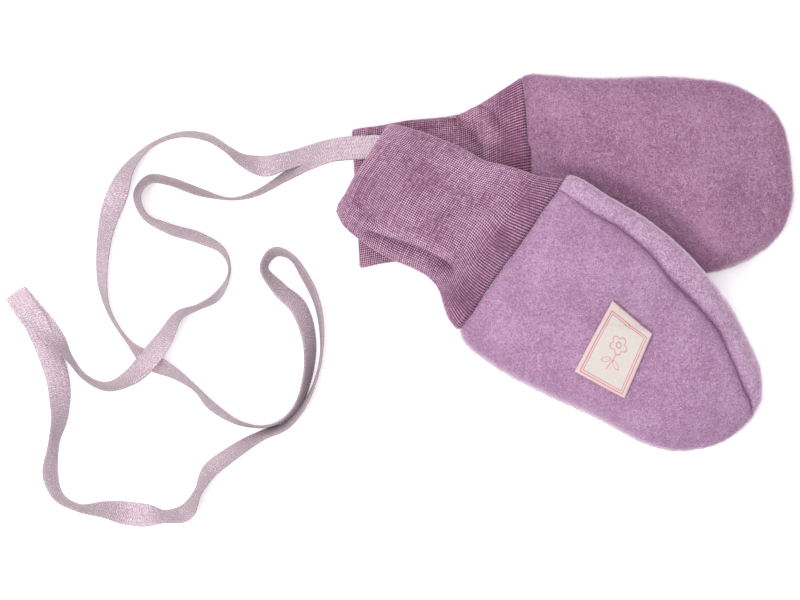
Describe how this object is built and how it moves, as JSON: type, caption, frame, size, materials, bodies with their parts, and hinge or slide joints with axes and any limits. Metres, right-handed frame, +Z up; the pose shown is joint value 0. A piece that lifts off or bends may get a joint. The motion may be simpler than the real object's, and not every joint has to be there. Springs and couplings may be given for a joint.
{
  "type": "pair of baby mittens",
  "caption": "Thumbless fleece baby mittens with long rib-knit cuffs, joined by a flat woven tape and laid one over the other.",
  "frame": {"origin": "centre of the mittens' bounding box at the table, without the tape", "axes": "+X from the cuffs towards the fingertips, +Y from the upper mitten's fingertip towards the lower mitten, +Z up from the table"},
  "size_m": [0.2753, 0.1581, 0.0323],
  "materials": {
    "fleece": "brushed wool fleece, mauve, napped and faintly mottled",
    "rib_knit": "fine rib knit, darker mauve, matt",
    "woven_label": "cream woven label with a thin pink border",
    "woven_tape": "pale pink herringbone woven tape, matt"
  },
  "bodies": {
    "root": {"rear_back_panel": "fleece", "rear_palm_panel": "fleece", "rear_cuff": "rib_knit", "front_back_panel": "fleece", "front_palm_panel": "fleece", "front_cuff": "rib_knit", "label": "woven_label", "tape": "woven_tape"}
  },
  "joints": []
}
